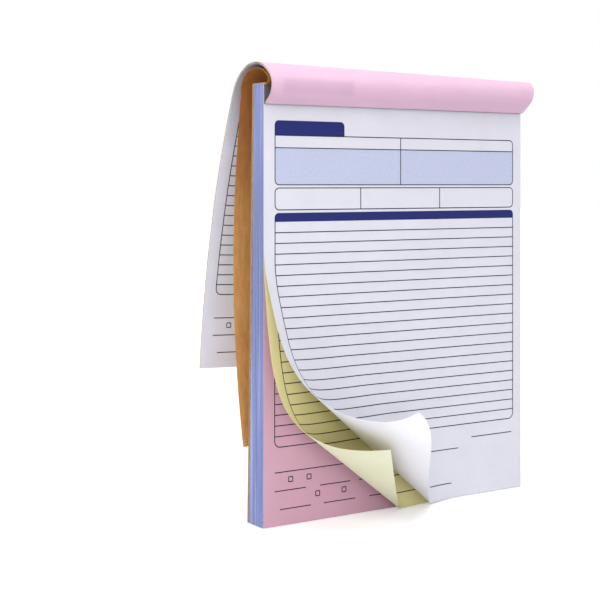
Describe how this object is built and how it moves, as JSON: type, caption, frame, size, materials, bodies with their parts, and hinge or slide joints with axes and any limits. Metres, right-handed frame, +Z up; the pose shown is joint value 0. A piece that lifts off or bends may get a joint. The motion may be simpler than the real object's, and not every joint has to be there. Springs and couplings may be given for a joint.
{
  "type": "invoice book",
  "caption": "Upright three-part carbonless invoice book: pad of white, yellow and pink sheets bound at the top, kraft wrap cover folded behind, first set turned over, corners lifted.",
  "frame": {"origin": "middle of the standing edge: half way along the width, on the foot of the middle block of closed sets", "axes": "+X to the right across the front sheet, +Y from the front sheet to the back board, +Z up towards the bound edge"},
  "size_m": [0.2218, 0.1525, 0.2945],
  "materials": {
    "white_paper": "matt carbonless top sheet with a pale blue and navy form print",
    "yellow_paper": "matt canary middle sheet",
    "pink_paper": "matt pink back sheet",
    "page_edges": "cut edges of white, yellow and pink sheets, lavender to the eye, faintly streaked",
    "kraft": "uncoated brown kraft card with fine specks",
    "grey_board": "rough grey chipboard",
    "glue": "thin film of dried padding glue",
    "wire": "galvanised staple wire"
  },
  "bodies": {
    "book": {"sets_03_04": "page_edges", "sets_05_06": "page_edges", "sets_07_08": "page_edges", "sets_09_10": "page_edges", "sets_11_12": "page_edges", "sets_13_14": "page_edges", "sets_15_16": "page_edges", "sets_17_18": "page_edges", "sets_19_20": "page_edges", "sets_21_22": "page_edges", "sets_23_24": "page_edges", "sets_25_26": "page_edges", "sets_27_28": "page_edges", "sets_29_30": "page_edges", "sets_31_32": "page_edges", "sets_33_34": "page_edges", "sets_35_36": "page_edges", "sets_37_38": "page_edges", "sets_39_40": "page_edges", "sets_41_42": "page_edges", "sets_43_44": "page_edges", "sets_45_46": "page_edges", "sets_47_48": "page_edges", "sets_49_50": "page_edges", "white_stub_1": "white_paper", "yellow_stub_1": "yellow_paper", "pink_stub_1": "pink_paper", "white_stub_2": "white_paper", "yellow_stub_2": "yellow_paper", "pink_stub_2": "pink_paper", "white_roll_1": "white_paper", "yellow_roll_1": "yellow_paper", "pink_roll_1": "pink_paper", "cover_wrap": "kraft", "back_board": "grey_board", "binding_glue": "glue", "staple_left": "wire", "staple_right": "wire"},
    "cover_flap": {"cover_flap": "kraft"},
    "white_sheet_1": {"white_sheet_1": "white_paper"},
    "yellow_sheet_1": {"yellow_sheet_1": "yellow_paper"},
    "pink_sheet_1": {"pink_sheet_1": "pink_paper"},
    "pink_sheet_2": {"pink_sheet_2": "pink_paper"},
    "yellow_sheet_2": {"yellow_sheet_2": "yellow_paper"},
    "white_sheet_2": {"white_sheet_2": "white_paper"}
  },
  "joints": [
    {"name": "cover_flap_turn", "type": "hinge", "parent": "book", "child": "cover_flap", "pos_m": [0.00062, -0.00082, 0.29141], "axis": [0.9959, -0.0865, -0.0259], "range_deg": [0, 100]},
    {"name": "white_sheet_1_turn", "type": "hinge", "parent": "cover_flap", "child": "white_sheet_1", "pos_m": [0.00062, -0.00082, 0.29141], "axis": [0.9959, -0.0865, -0.0259], "range_deg": [0, 30]},
    {"name": "yellow_sheet_1_turn", "type": "hinge", "parent": "white_sheet_1", "child": "yellow_sheet_1", "pos_m": [0.00062, -0.00082, 0.29141], "axis": [0.9959, -0.0865, -0.0259], "range_deg": [0, 20]},
    {"name": "pink_sheet_1_turn", "type": "hinge", "parent": "yellow_sheet_1", "child": "pink_sheet_1", "pos_m": [0.00062, -0.00082, 0.29141], "axis": [0.9959, -0.0865, -0.0259], "range_deg": [0, 20]},
    {"name": "pink_sheet_2_lift", "type": "hinge", "parent": "book", "child": "pink_sheet_2", "pos_m": [0, -0.00903, 0.267], "axis": [-1, 0, 0], "range_deg": [0, 30]},
    {"name": "yellow_sheet_2_lift", "type": "hinge", "parent": "pink_sheet_2", "child": "yellow_sheet_2", "pos_m": [0, -0.00903, 0.267], "axis": [-1, 0, 0], "range_deg": [0, 30]},
    {"name": "white_sheet_2_lift", "type": "hinge", "parent": "yellow_sheet_2", "child": "white_sheet_2", "pos_m": [0, -0.00903, 0.267], "axis": [-1, 0, 0], "range_deg": [0, 30]}
  ]
}
